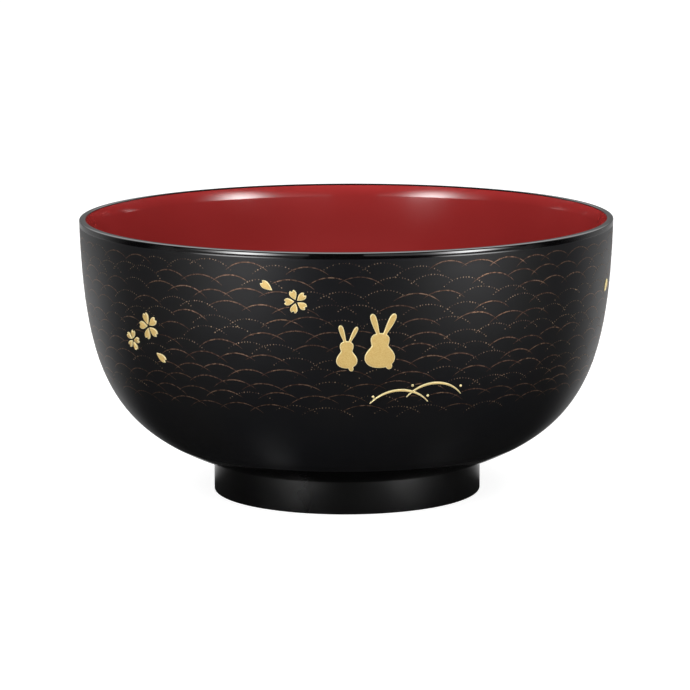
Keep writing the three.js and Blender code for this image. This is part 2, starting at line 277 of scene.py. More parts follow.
class WaveLines(bpy.types.PropertyGroup):
    """Sizes and spread of the printed waves."""
    rows: IntProperty(name="Rows", description="Rows of waves below the lip", default=12, min=1)
    per_row: IntProperty(name="Waves per row", description="Waves round the bowl", default=51, min=3)
    first: length("First row", "Lip to the crests of the first row", 3.0)
    pitch: length("Row pitch", "Row to row along the wall", 3.25)
    radius: length("Wave radius", "Radius of a wave's arc", 8.5)
    spread: turn("Wave spread", "Half the angle that a wave's arc covers", 40)
    width: length("Line width", "Width of a line at its crest", 0.31)
    lift: length("Line lift", "Height of the lines above the coat", 0.03)
    dot_radius: length("Dot radius", "Radius of a dot", 0.15)
    dot_pitch: length("Dot pitch", "Dot to dot along a dotted wave", 0.72)
    halo: length("Halo", "Bare margin round the gold", 0.35)
    seed: IntProperty(name="Seed", description="Start of the random spread", default=7, min=0)


class BowlColours(bpy.types.PropertyGroup):
    """Colours of the finishes."""
    wood: colour("Wood", "Turned wood", (0.42, 0.24, 0.11))
    wood_ring: colour("Wood rings", "Darker growth rings", (0.24, 0.12, 0.05))
    vermilion: colour("Red lacquer", "Lining", (0.3, 0.0265, 0.0255))
    vermilion_deep: colour("Deep red", "Darker mottle of the lining", (0.27, 0.023, 0.022))
    # Painted light: a lighter red for the lip, standing in for the light that falls on the upturned bevel
    vermilion_lit_lip: colour("Lip red", "Lighter red of the lining at the lip", (0.39, 0.0345, 0.0335))
    satin: colour("Satin black", "Belly", (0.0034, 0.0036, 0.0047))
    satin_warm: colour("Warm black", "Warmer mottle of the belly", (0.0044, 0.0043, 0.0046))
    gloss: colour("Gloss black", "Lip, foot and underside", (0.0012, 0.0011, 0.0012))
    gloss_haze: colour("Haze", "Lighter mottle of the gloss black", (0.002, 0.0019, 0.002))
    gold: colour("Gold", "Gold powder", (0.56, 0.4, 0.148))
    gold_deep: colour("Deep gold", "Darker grains of the gold", (0.49, 0.33, 0.105))
    gold_pale: colour("Pale gold", "Edges of the gold", (0.84, 0.74, 0.42))
    bronze: colour("Bronze", "Printed lines", (0.06, 0.034, 0.024))
    bronze_light: colour("Light bronze", "Bright grains of the lines", (0.29, 0.18, 0.118))
    beige: colour("Beige", "Printed dots", (0.35, 0.245, 0.155))
    floor: colour("Floor", "Floor under the bowl", (0.8, 0.8, 0.8))


class BowlStage(bpy.types.PropertyGroup):
    """Camera, lamps and floor."""
    distance: length("Camera distance", "Camera to the middle of the picture", 929)
    elevation: turn("Camera elevation", "Camera above the horizon", 9.572)
    roll: turn("Camera roll", "Turn of the camera about its line of sight", -0.2)
    target: length("Target height", "Height at the middle of the picture", 37.1)
    lens: FloatProperty(
        name="Lens", description="Focal length in millimetres", default=188.9, min=1, unit="CAMERA")
    shift: FloatProperty(name="Shift", description="Sideways shift of the picture", default=-0.0024)
    key_radiance: FloatProperty(
        name="Key radiance", description="Brightness of the two large lamps", default=3.8, min=0)
    panel_radiance: FloatProperty(
        name="Panel radiance", description="Brightness of the two low panels", default=22.0, min=0)
    floor_glow: FloatProperty(
        name="Floor glow", description="Share of the floor's white that shadow leaves", default=0.84, min=0)


class LacquerBowl(bpy.types.PropertyGroup):
    """Everything that a user of the bowl may change."""
    shape: PointerProperty(type=BowlShape)
    gold: PointerProperty(type=GoldRelief)
    waves: PointerProperty(type=WaveLines)
    colours: PointerProperty(type=BowlColours)
    stage: PointerProperty(type=BowlStage)


# Section of the bowl


class BowlWall:
    """The wall's section in the half plane of radius and height, and places on the belly."""

    def __init__(self, shape):
        self.shape = shape
        rise, lean = shape.belly_angle, shape.lip_lean
        foot = np.array((shape.foot_radius, shape.foot_height))
        lip = np.array((shape.rim_radius, shape.height))
        self.controls = (
            foot,
            foot + shape.belly_handle * np.array((math.cos(rise), math.sin(rise))),
            lip - shape.lip_handle * np.array((math.sin(lean), math.cos(lean))),
            lip,
        )
        self.samples = np.linspace(0, 1, CURVE_SAMPLES)
        points = self.outer(self.samples, 0)
        self.radii, self.heights = points.T
        slopes = self.slopes(self.samples)
        self.slope_radii, self.slope_heights = slopes.T
        steps = np.linalg.norm(np.diff(points, axis=0), axis=1)
        self.below_lip = np.append(np.cumsum(steps[::-1])[::-1], 0)

    def slopes(self, shares):
        """Unit direction of the outside curve, up the wall."""
        a, b, c, d = self.controls
        shares = np.atleast_1d(shares)[:, None]
        rest = 1 - shares
        way = rest**2 * (b - a) + 2 * rest * shares * (c - b) + shares**2 * (d - c)
        return way / np.linalg.norm(way, axis=1, keepdims=True)

    def outer(self, shares, depth):
        """Points of the outside, sunk into the wall by a depth."""
        a, b, c, d = self.controls
        inward = self.slopes(shares) @ np.array(((0, 1), (-1, 0)))
        shares = np.atleast_1d(shares)[:, None]
        rest = 1 - shares
        points = rest**3 * a + 3 * rest**2 * shares * b + 3 * rest * shares**2 * c + shares**3 * d
        return points + inward * np.reshape(depth, (-1, 1))

    def inner(self, shares, depth):
        """Points of the inside, sunk into the wall by a depth."""
        shape = self.shape
        shares = np.atleast_1d(shares)
        below = np.interp(shares, self.samples, self.below_lip)
        wall = shape.lip_wall + (shape.belly_wall - shape.lip_wall) * (1 - shares)
        wall -= shape.hollow * np.sin(math.pi * np.clip(below / shape.hollow_reach, 0, 1)) ** 2
        bevel = np.clip(1 - below / shape.bevel_reach, 0, 1)
        wall -= shape.lip_bevel * bevel + shape.lip_flare * bevel**2
        return self.outer(shares, wall - depth)

    def share_at(self, face, depth, height):
        """How far up the curve a face reaches a height."""
        return float(np.interp(height, face(self.samples, depth)[:, 1], self.samples))

    def at_height(self, face, depth, height):
        return face(self.share_at(face, depth, height), depth)

    def inside(self, depth, top):
        """Section of the inside from the axis up to a height, sunk into the wall by a depth."""
        shape = self.shape
        start, ahead = self.inner(np.array((0, 0.1)), 0)
        slope = (ahead[1] - start[1]) / (ahead[0] - start[0])
        low = start[1] - shape.floor_dip
        middle = np.array((start[0] - shape.floor_dip / slope, low))
        share = np.linspace(0, 1, FLOOR_STEPS, endpoint=False)[:, None]
        floor = 2 * (1 - share) * share * middle + share**2 * start
        floor[:, 1] += (1 - share[:, 0]) ** 2 * low
        way = (1 - share) * (middle - (0, low)) + share * (start - middle)
        way /= np.linalg.norm(way, axis=1, keepdims=True)
        floor -= depth * (way @ np.array(((0, 1), (-1, 0))))
        end = self.share_at(self.inner, 0, top)
        creases = np.interp(
            shape.bevel_reach + np.array((1, 0, -1)) * CREASE * MM, self.below_lip[::-1], self.samples[::-1])
        bevel = np.linspace(creases[2], end, BEVEL_STEPS + 1)[1:]
        shares = np.concatenate((np.linspace(0, creases[0], WALL_STEPS + 1), creases[1:], bevel))
        return np.concatenate((floor, self.inner(shares, depth)))

    def height_below(self, distance):
        """Height at a distance below the lip along the wall."""
        return float(np.interp(distance, self.below_lip[::-1], self.heights[::-1]))

    def spot(self, angle, drop, along=0):
        """A place on the belly: an angle from the front and a height, from a drop below the lip."""
        height = self.shape.height - drop
        return angle + along / float(np.interp(height, self.heights, self.radii)), height

    def at(self, height):
        """Radius of the outside at a height, and the direction up the wall."""
        return (np.interp(height, self.heights, values) for values in (
            self.radii, self.slope_radii, self.slope_heights))

    def lay(self, spot, points):
        """Lays points (along, up, out) of the plane that touches the belly at a spot on to the belly."""
        angle, height = spot
        along, up, out = np.asarray(points, dtype=float).T
        radius, slope_radius, slope_height = self.at(height)
        turned = angle + np.arctan2(along, radius + up * slope_radius)
        level = height + up * slope_height
        radius, slope_radius, slope_height = self.at(level)
        reach = radius + out * slope_height
        return np.stack((
            reach * np.sin(turned), -reach * np.cos(turned), level - out * slope_radius), axis=1)

    def flatten(self, spot, places):
        """Points (along, up) of the plane at a spot, from places on the belly."""
        angle, height = spot
        x, y, z = places.T
        radius, slope_radius, slope_height = self.at(height)
        up = (z - height) / slope_height
        aside = (np.arctan2(x, -y) - angle + math.pi) % (2 * math.pi) - math.pi
        aside = np.clip(aside, -1, 1)
        return np.stack((np.tan(aside) * (radius + up * slope_radius), up), axis=1)


# Outlines of the gold, in millimetres


def cubic(start, first, second, end):
    """Points of a cubic curve, its end left out."""
    start, first, second, end = (np.array(point, dtype=float) for point in (start, first, second, end))
    share = np.linspace(0, 1, OUTLINE_STEPS, endpoint=False)[:, None]
    rest = 1 - share
    return rest**3 * start + 3 * rest**2 * share * first + 3 * rest * share**2 * second + share**3 * end


def mirrored(half):
    """A closed outline from its right half, which starts and ends on the middle line."""
    return np.concatenate((half, half[-2:0:-1] * (-1, 1)))


def turned_clockwise(points, degrees):
    angle = math.radians(degrees)
    return points @ np.array(((math.cos(angle), -math.sin(angle)), (math.sin(angle), math.cos(angle))))


def oval(x, y, half_width, half_height, lean=0):
    angle = np.linspace(0, 2 * math.pi, 4 * OUTLINE_STEPS, endpoint=False)
    points = np.stack((half_width * np.cos(angle), half_height * np.sin(angle)), axis=1)
    return turned_clockwise(points, lean) + (x, y)


def petal_outline(reach, width):
    """Notched petal with its point at the origin and its tip upwards."""
    half = width / 2
    side = cubic(
        (0, 0), (half * PETAL_ROOT[0], reach * PETAL_ROOT[1]),
        (half * PETAL_SHOULDER[0], reach * PETAL_SHOULDER[1]), (half * PETAL_LOBE, reach))
    return mirrored(np.concatenate((side, ((half * PETAL_LOBE, reach), (0, reach - PETAL_NOTCH)))))


def ear_outline(along, lean, reach, width, root):
    """Ear that widens from its root to a blunt tip."""
    share = np.linspace(0, 1, 3 * OUTLINE_STEPS)
    swell = np.sin(np.clip(share / EAR_FULL, 0, 1) * math.pi / 2) ** 2
    blunt = np.sqrt(1 - np.clip((share - EAR_TIP) / (1 - EAR_TIP), 0, 1) ** 2)
    half = width / 2 * (EAR_ROOT_WIDTH + (1 - EAR_ROOT_WIDTH) * swell) * blunt
    right = np.stack((half, share * reach), axis=1)
    return turned_clockwise(np.concatenate((right, right[-2::-1] * (-1, 1))), lean) + (along, root)


def rabbit_outlines(rabbit):
    """Back, tail and ears of a sitting rabbit, seen from behind."""
    (body, middle), (neck, throat), (head, cheek) = (
        (wide / 2, high) for wide, high in (rabbit["body"], rabbit["neck"], rabbit["head"]))
    top = rabbit["top"]
    shoulder, jaw = (middle + throat) / 2, (throat + cheek) / 2
    below, above = throat - PINCH * (throat - middle), throat + PINCH * (cheek - throat)
    crown = cheek + ROUND * (top - cheek)
    back = mirrored(np.concatenate((
        cubic((0, 0), (body * ROUND, 0), (body, middle * (1 - ROUND)), (body, middle)),
        cubic((body, middle), (body, shoulder), (neck, below), (neck, throat)),
        cubic((neck, throat), (neck, above), (head, jaw), (head, cheek)),
        cubic((head, cheek), (head, crown), (head * ROUND, top), (0, top)),
        ((0, top),),
    )))
    root = top - rabbit["ear_root"]
    return [back, oval(*rabbit["tail"]), *(ear_outline(*ear, root) for ear in rabbit["ears"])]


def mound_outline(along, up):
    """Brush stroke: full in the middle, thin at both ends."""
    def edge(width, rise):
        radius = (width**2 / 4 + rise**2) / (2 * rise)
        angle = np.linspace(-1, 1, 4 * OUTLINE_STEPS) * math.asin(width / 2 / radius)
        return np.stack((radius * np.sin(angle), rise - radius + radius * np.cos(angle)), axis=1)

    top = edge(MOUND_WIDTH, MOUND_RISE)
    bottom = edge(MOUND_WIDTH - 2 * MOUND_TIP, MOUND_RISE - MOUND_STROKE)
    return np.concatenate((top, bottom[::-1])) + (along, up)


def rabbit_motifs(wall):
    """Each motif is a CAD node's name, its spot on the belly and its outlines in metres."""
    rabbits = (("rabbit_small", SMALL_RABBIT, 0), ("rabbit_large", LARGE_RABBIT, RABBIT_SPACING))
    for name, rabbit, along in rabbits:
        spot = wall.spot(0, RABBIT_DROP * MM, along * MM)
        yield name, spot, [outline * MM for outline in rabbit_outlines(rabbit)]


def mound_motifs(wall):
    spot = wall.spot(math.radians(MOUND_ANGLE), MOUND_DROP * MM)
    yield "grass_mound", spot, [mound_outline(*place) * MM for place in MOUND_STROKES]
    for number, (stroke, along, above) in enumerate(DEW_DROPS, 1):
        x, y = MOUND_STROKES[stroke]
        y += MOUND_RISE * (1 - (2 * along / MOUND_WIDTH) ** 2) + above
        yield f"dew_drop_{number}", spot, [oval(x + along, y, DEW_RADIUS, DEW_RADIUS) * MM]


def blossom_motifs(wall):
    for name, angle, drop, radius, width, start in BLOSSOMS:
        petal = petal_outline(radius - PETAL_START, width) + (0, PETAL_START)
        spot = wall.spot(math.radians(angle), drop * MM)
        for number in range(PETALS_PER_BLOSSOM):
            degrees = start + number * 360 / PETALS_PER_BLOSSOM
            yield f"{name}_petal_{number + 1}", spot, [turned_clockwise(petal, degrees) * MM]
    for name, angle, drop, degrees in LOOSE_PETALS:
        petal = petal_outline(LOOSE_PETAL_LENGTH, LOOSE_PETAL_WIDTH) - (0, LOOSE_PETAL_LENGTH / 2)
        yield name, wall.spot(math.radians(angle), drop * MM), [turned_clockwise(petal, degrees) * MM]


def depth_inside(points, outlines):
    """How deep each point lies inside the joined outlines; negative outside them."""
    deepest = np.full(len(points), -np.inf)
    for outline in outlines:
        ahead = np.roll(outline, -1, axis=0)
        way = ahead - outline
        offset = points[:, None] - outline
        share = np.clip((offset * way).sum(-1) / np.maximum((way**2).sum(-1), 1e-18), 0, 1)
        gap = np.linalg.norm(offset - share[..., None] * way, axis=-1).min(axis=1)
        level = points[:, 1:]
        straddles = (outline[:, 1] > level) != (ahead[:, 1] > level)
        rise = np.where(way[:, 1] == 0, 1, way[:, 1])
        crossing = outline[:, 0] + (level - outline[:, 1]) / rise * way[:, 0]
        inside = (straddles & (crossing > points[:, :1])).sum(axis=1) % 2 == 1
        deepest = np.maximum(deepest, np.where(inside, gap, -gap))
    return deepest


# Meshes


def finished(name, bm, material, slot, *nodes):
    """Makes a piece of a mesh, gives it its finish and sets it in the frame."""
    mesh = bpy.data.meshes.new(name)
    for face in bm.faces:
        face.smooth = True
    bm.to_mesh(mesh)
    bm.free()
    mesh.set_sharp_from_angle(angle=SMOOTH_ANGLE)
    mesh.materials.append(material)
    piece = bpy.data.objects.new(name, mesh)
    bpy.context.scene.collection.objects.link(piece)
    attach(piece, BODY)
    if nodes:
        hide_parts(*nodes)
    return piece


def spun(section, closed=True):
    """Turns a section of (radius, height) points about the bowl's axis."""
    bm = bmesh.new()
    verts = [bm.verts.new((0, radius, height)) for radius, height in section]
    edges = [bm.edges.new(pair) for pair in zip(verts, verts[1:])]
    if closed:
        edges.append(bm.edges.new((verts[-1], verts[0])))
    bmesh.ops.spin(
        bm, geom=[*verts, *edges], cent=(0, 0, 0), axis=(0, 0, 1), angle=2 * math.pi, steps=TURN_STEPS,
        use_merge=True)
    bmesh.ops.remove_doubles(bm, verts=bm.verts, dist=MERGE_DISTANCE)
    bmesh.ops.recalc_face_normals(bm, faces=bm.faces)
    return bm


def corner(centre, radius, start, sweep=90):
    """Points of a rounded corner of a section."""
    angle = np.radians(start + np.linspace(0, sweep, CORNER_STEPS))
    return np.asarray(centre) + radius * np.stack((np.cos(angle), np.sin(angle)), axis=1)


def gold_relief(outlines, relief):
    """Raised motif in its own plane, with a rounded edge and a depth below its outline at each vertex."""
    bm = bmesh.new()
    deep = bm.verts.layers.float.new("depth")
    corners = np.concatenate(outlines)
    low, high = corners.min(axis=0) - relief.cell, corners.max(axis=0) + relief.cell
    size = high - low
    columns, rows = (int(math.ceil(side / relief.cell)) for side in size)
    middle = (low + high) / 2
    bmesh.ops.create_grid(
        bm, x_segments=columns, y_segments=rows, size=0.5,
        matrix=Matrix.Translation((*middle, 0)) @ Matrix.Diagonal((*size, 1, 1)))
    verts = list(bm.verts)
    depths = depth_inside(np.array([vert.co.xy for vert in verts]), outlines)
    for vert, depth in zip(verts, depths):
        vert[deep] = depth
    outside = [vert for vert in verts if vert[deep] < -relief.cell / 2]
    bmesh.ops.delete(bm, geom=outside, context="VERTS")
    bmesh.ops.delete(bm, geom=[vert for vert in bm.verts if not vert.link_faces], context="VERTS")
    snap_to_outline(bm, deep, outlines, relief)
    raised = bmesh.ops.extrude_face_region(bm, geom=bm.faces[:], use_keep_orig=True)["geom"]
    for vert in bm.verts:
        vert.co.z = -relief.sink
    for vert in (part for part in raised if isinstance(part, bmesh.types.BMVert)):
        fall = 1 - min(max(vert[deep], 0) / relief.edge, 1)
        vert.co.z = relief.skirt + (relief.thickness - relief.skirt) * math.sqrt(1 - fall * fall)
    bmesh.ops.recalc_face_normals(bm, faces=bm.faces)
    return bm


def snap_to_outline(bm, deep, outlines, relief):
    """Moves the border of a relief's grid on to the outline."""
    border = [vert for vert in bm.verts if vert.is_boundary]
    places = np.array([vert.co.xy for vert in border])
    nudge = relief.cell * SNAP_STEP
    for _ in range(SNAP_ROUNDS):
        depths = depth_inside(places, outlines)
        slope = np.stack([
            depth_inside(places + step, outlines) - depth_inside(places - step, outlines)
            for step in ((nudge, 0), (0, nudge))], axis=1) / (2 * nudge)
        places = places - depths[:, None] * slope
    for vert, place in zip(border, places):
        vert.co.xy = place
        vert[deep] = 0


def lay_on_belly(bm, wall, spot):
    """Carries a mesh from its own plane to its spot on the belly."""
    verts = list(bm.verts)
    for vert, place in zip(verts, wall.lay(spot, [vert.co for vert in verts])):
        vert.co = place


def gold_pieces(context, motifs):
    bowl = context.scene.lacquer_bowl
    wall = BowlWall(bowl.shape)
    material = gold_finish(bowl)
    for name, spot, outlines in motifs(wall):
        bm = gold_relief(outlines, bowl.gold)
        lay_on_belly(bm, wall, spot)
        finished(f"gold_{name}", bm, material, "gold_powder", name)


# Waves


def wave_plan(waves, wall):
    """Rows of waves as a hand would space them: spot, radius, spread, tilt, tone and whether dotted."""
    draw = random.Random(waves.seed)
    step = 2 * math.pi / waves.per_row
    for row in range(waves.rows):
        dotted = draw.random() < FIRST_DOTTED
        plan = []
        for place in range(waves.per_row):
            dotted = draw.random() < (DOTTED_AFTER_DOTS if dotted else DOTTED_AFTER_LINE)
            angle = (place + row % 2 / 2 + draw.uniform(-DRIFT_ALONG, DRIFT_ALONG)) * step
            below = waves.first + row * waves.pitch + draw.uniform(-DRIFT_UP, DRIFT_UP) * MM
            plan.append({
                "spot": (angle, wall.height_below(below)),
                "radius": waves.radius * draw.uniform(*RADIUS_RANGE),
                "spread": waves.spread * draw.uniform(*SPREAD_RANGE),
                "tilt": math.radians(draw.uniform(*TILT_RANGE)),
                "tone": draw.uniform(*TONE_RANGE),
                "dotted": dotted,
            })
        yield plan


def on_wave(wave, angles, out=0.0):
    """Points of a wave's arc in the plane at its crest."""
    radius, tilt = wave["radius"], wave["tilt"]
    x, y = radius * np.sin(angles), radius * np.cos(angles) - radius
    return np.stack((
        x * math.cos(tilt) - y * math.sin(tilt), x * math.sin(tilt) + y * math.cos(tilt),
        np.full_like(x, out)), axis=1)


def clear_of_gold(places, wall, motifs, halo):
    """Which places on the belly are further than the halo from every motif."""
    clear = np.ones(len(places), dtype=bool)
    for _, spot, outlines in motifs:
        flat = wall.flatten(spot, places)
        low = np.min([outline.min(axis=0) for outline in outlines], axis=0) - halo
        high = np.max([outline.max(axis=0) for outline in outlines], axis=0) + halo
        near = ((flat > low) & (flat < high)).all(axis=1)
        if near.any():
            clear[near] &= depth_inside(flat[near], outlines) < -halo
    return clear


def clear_runs(clear):
    """Starts and ends of the unbroken clear stretches of a wave."""
    edges = np.flatnonzero(np.diff(np.concatenate(([0], clear.astype(int), [0]))))
    return [(start, end - 1) for start, end in zip(edges[::2], edges[1::2]) if end - start > CLEAR_LEAST]


def line_ribbon(wave, start, end, waves):
    """Low ridge along a wave between two angles, thin at the ends of the wave."""
    bm = bmesh.new()
    radius, half = wave["radius"], waves.width / 2
    section = [bm.verts.new((0, radius + aside, out)) for aside, out in (
        (-half, -waves.lift / 2), (half, -waves.lift / 2), (0, waves.lift))]
    edges = [bm.edges.new((section[i], section[(i + 1) % 3])) for i in range(3)]
    bmesh.ops.rotate(bm, verts=section, cent=(0, 0, 0), matrix=Matrix.Rotation(-start, 3, "Z"))
    steps = max(3, round(LINE_STEPS * (end - start) / (2 * wave["spread"])))
    bmesh.ops.spin(
        bm, geom=[*section, *edges], cent=(0, 0, 0), axis=(0, 0, -1), angle=end - start, steps=steps)
    bmesh.ops.holes_fill(bm, edges=bm.edges, sides=3)
    bmesh.ops.recalc_face_normals(bm, faces=bm.faces)
    tone = bm.verts.layers.float.new("tone")
    for vert in bm.verts:
        x, y, out = vert.co
        angle, reach = math.atan2(x, y), math.hypot(x, y)
        full = max(1 - abs(angle / wave["spread"]) ** LINE_TAPER, 0)
        taper = LINE_TIP + (1 - LINE_TIP) * full
        reach = radius + (reach - radius) * taper
        place = on_wave({**wave, "radius": reach}, np.array([angle]))[0]
        shift = reach - radius
        vert.co = (
            place[0] - shift * math.sin(wave["tilt"]), place[1] + shift * math.cos(wave["tilt"]), out * taper)
        vert[tone] = wave["tone"] * (LINE_TIP_TONE + (1 - LINE_TIP_TONE) * full)
    return bm


def joined(parts):
    """One mesh of many, with the tone of each vertex."""
    whole = bmesh.new()
    whole.verts.layers.float.new("tone")
    carrier = bpy.data.meshes.new("part")
    for part in parts:
        part.to_mesh(carrier)
        part.free()
        whole.from_mesh(carrier)
    bpy.data.meshes.remove(carrier)
    return whole


def wave_lines(plan, waves, wall, motifs):
    """The solid waves of a row."""
    for wave in plan:
        if wave["dotted"]:
            continue
        angles = np.linspace(-wave["spread"], wave["spread"], CLEAR_SAMPLES)
        clear = clear_of_gold(wall.lay(wave["spot"], on_wave(wave, angles)), wall, motifs, waves.halo)
        for start, end in clear_runs(clear):
            ribbon = line_ribbon(wave, angles[start], angles[end], waves)
            lay_on_belly(ribbon, wall, wave["spot"])
            yield ribbon


def wave_dots(plan, waves, wall, motifs, draw):
    """The dotted waves of a row."""
    for wave in plan:
        if not wave["dotted"]:
            continue
        count = max(2, round(2 * wave["spread"] * wave["radius"] / waves.dot_pitch))
        angles = np.linspace(-wave["spread"], wave["spread"], count)
        angles += [draw.uniform(-DOT_DRIFT, DOT_DRIFT) * waves.dot_pitch / wave["radius"] for _ in angles]
        points = on_wave(wave, angles)
        clear = clear_of_gold(wall.lay(wave["spot"], points), wall, motifs, waves.halo)
        dots = bmesh.new()
        tone = dots.verts.layers.float.new("tone")
        for (x, y, _), bare in zip(points, clear):
            size = waves.dot_radius * draw.uniform(*DOT_SIZE_RANGE)
            shade = draw.uniform(*DOT_TONE_RANGE)
            if not bare:
                continue
            flat = Matrix.Translation((x, y, 0)) @ Matrix.Diagonal((1, 1, waves.lift / size, 1))
            dot = bmesh.ops.create_uvsphere(
                dots, u_segments=DOT_SEGMENTS, v_segments=DOT_RINGS, radius=size, matrix=flat)
            for vert in dot["verts"]:
                vert[tone] = shade
        lay_on_belly(dots, wall, wave["spot"])
        yield dots


# Finishes


def node(tree, kind, inputs=None, **settings):
    """Adds a node; an input is a value or the socket that feeds it."""
    made = tree.nodes.new(kind)
    for name, value in settings.items():
        setattr(made, name, value)
    for name, value in (inputs or {}).items():
        if isinstance(value, bpy.types.NodeSocket):
            tree.links.new(value, made.inputs[name])
        else:
            made.inputs[name].default_value = value
    return made


def number(tree, operation, *values, clamp=False):
    """Result of a Math node."""
    made = node(tree, "ShaderNodeMath", dict(enumerate(values)), operation=operation, use_clamp=clamp)
    return made.outputs[0]


def ranged(tree, value, low, high, start=0.0, end=1.0, smooth=False):
    """A value moved from one range to another, clamped."""
    made = node(tree, "ShaderNodeMapRange", {
        "Value": value, "From Min": low, "From Max": high, "To Min": start, "To Max": end},
        interpolation_type="SMOOTHSTEP" if smooth else "LINEAR")
    return made.outputs["Result"]


def blended(tree, share, first, second):
    """Mix of two colours."""
    made = node(tree, "ShaderNodeMix", {0: share, 6: first, 7: second}, data_type="RGBA")
    return made.outputs[2]


def rgba(value):
    return (*value, 1.0)


def own_place(tree):
    """Place on a piece in the piece's own coordinates."""
    return node(tree, "ShaderNodeTexCoord").outputs["Object"]


def own_height(tree):
    return node(tree, "ShaderNodeSeparateXYZ", {0: own_place(tree)}).outputs["Z"]


def new_group(name, inputs, outputs):
    """An empty shader group with named number inputs and outputs."""
    group = bpy.data.node_groups.new(name, "ShaderNodeTree")
    kind = "NodeSocketFloat"
    for label, default in inputs.items():
        socket = group.interface.new_socket(name=label, in_out="INPUT", socket_type=kind)
        socket.default_value = default
    for label in outputs:
        group.interface.new_socket(name=label, in_out="OUTPUT", socket_type=kind)
    return group, group.nodes.new("NodeGroupInput").outputs, group.nodes.new("NodeGroupOutput")


def noise(tree, place, scale, detail=2.0, roughness=0.5):
    made = node(tree, "ShaderNodeTexNoise", {
        "Vector": place, "Scale": scale, "Detail": detail, "Roughness": roughness})
    return made.outputs[0]


def lacquer_group():
    """Cloudy mottle of a lacquer coat and the fine orange peel of its skin."""
    name = "Lacquer Skin"
    if name in bpy.data.node_groups:
        return bpy.data.node_groups[name]
    group, inputs, output = new_group(
        name, {"Mottle Scale": 40, "Grain Scale": 900}, ("Mottle", "Grain"))
    place = own_place(group)
    mottle = ranged(group, noise(group, place, inputs["Mottle Scale"], 3), 0.3, 0.7)
    grain = noise(group, place, inputs["Grain Scale"], 2)
    group.links.new(mottle, output.inputs["Mottle"])
    group.links.new(grain, output.inputs["Grain"])
    return group


def powder_group():
    """Grains of metal powder: their brightness and their height."""
    name = "Metal Powder"
    if name in bpy.data.node_groups:
        return bpy.data.node_groups[name]
    group, inputs, output = new_group(
        name, {"Grain Scale": 4000, "Cloud Scale": 600}, ("Grain", "Height"))
    place = own_place(group)
    cells = node(group, "ShaderNodeTexVoronoi", {"Vector": place, "Scale": inputs["Grain Scale"]})
    grey = node(group, "ShaderNodeSeparateColor", {"Color": cells.outputs["Color"]}).outputs[0]
    cloud = noise(group, place, inputs["Cloud Scale"], 3)
    clouded = number(group, "MULTIPLY", cloud, 1 - GRAIN_SHARE)
    mixed = number(group, "MULTIPLY_ADD", grey, GRAIN_SHARE, clouded)
    group.links.new(mixed, output.inputs["Grain"])
    group.links.new(grey, output.inputs["Height"])
    return group


def new_finish(name):
    """A new material, its node tree and its Principled shader."""
    material = bpy.data.materials.new(name)
    material.use_nodes = True
    tree = material.node_tree
    return material, tree, tree.nodes["Principled BSDF"]


def use_group(tree, group, **values):
    made = node(tree, "ShaderNodeGroup", node_tree=group)
    for label, value in values.items():
        made.inputs[label.replace("_", " ").title()].default_value = value
    return made.outputs


def bump(tree, height, strength, distance):
    made = node(tree, "ShaderNodeBump", {"Strength": strength, "Distance": distance, "Height": height})
    return made.outputs["Normal"]


def feed(tree, shader, **sockets):
    """Links outputs to, or sets values on, a shader's sockets."""
    for label, value in sockets.items():
        socket = shader.inputs[label.replace("_", " ").title().replace("Ior", "IOR")]
        if isinstance(value, bpy.types.NodeSocket):
            tree.links.new(value, socket)
        else:
            socket.default_value = value


def lacquer_finish(name, first, second, roughness, spread, mottle_scale, grain_scale, peel):
    """A lacquer coat: two tones in a slow mottle, a roughness that drifts and a fine peel."""
    material, tree, shader = new_finish(name)
    skin = use_group(tree, lacquer_group(), mottle_scale=mottle_scale, grain_scale=grain_scale)
    feed(
        tree, shader,
        base_color=blended(tree, skin["Mottle"], rgba(first), rgba(second)),
        roughness=ranged(tree, skin["Mottle"], 0, 1, roughness - spread, roughness + spread),
        normal=bump(tree, skin["Grain"], peel, GRAIN_HEIGHT * MM))
    return material, tree, shader


def red_finish(bowl):
    """Red lacquer, painted lighter towards the lip: painted light for the extra light that falls on the
    upturned bevel.
    """
    colours, shape = bowl.colours, bowl.shape
    material, tree, shader = lacquer_finish(
        "Vermilion Lacquer", colours.vermilion_deep, colours.vermilion, *RED_SKIN)
    # Painted light: the red brightens over the bevel's height up to the lip
    lip = ranged(tree, own_height(tree), shape.height - shape.bevel_reach, shape.height)
    tones = shader.inputs["Base Color"].links[0].from_socket
    feed(tree, shader, base_color=blended(tree, lip, tones, rgba(colours.vermilion_lit_lip)))
    return material


def satin_finish(bowl):
    """Satin lacquer that turns to bare gloss black near the foot."""
    colours = bowl.colours
    material, tree, shader = lacquer_finish(
        "Satin Black Lacquer", colours.satin, colours.satin_warm, *SATIN_SKIN)
    edge, fade = bowl.shape.satin_edge, SATIN_FADE * MM
    satin = ranged(tree, own_height(tree), edge - fade, edge + fade)
    tones, matt = (shader.inputs[name].links[0].from_socket for name in ("Base Color", "Roughness"))
    rougher = number(tree, "SUBTRACT", matt, BARE_ROUGHNESS)
    feed(
        tree, shader, base_color=blended(tree, satin, rgba(colours.gloss), tones),
        roughness=number(tree, "MULTIPLY_ADD", rougher, satin, BARE_ROUGHNESS),
        specular_ior_level=SATIN_SPECULAR)
    return material


def gloss_finish(bowl):
    colours = bowl.colours
    name = "Gloss Black Lacquer"
    if name in bpy.data.materials:
        return bpy.data.materials[name]
    return lacquer_finish(name, colours.gloss, colours.gloss_haze, *GLOSS_SKIN)[0]


def foot_finish(bowl):
    colours = bowl.colours
    return lacquer_finish("Foot Lacquer", colours.gloss, colours.gloss_haze, *FOOT_SKIN)[0]


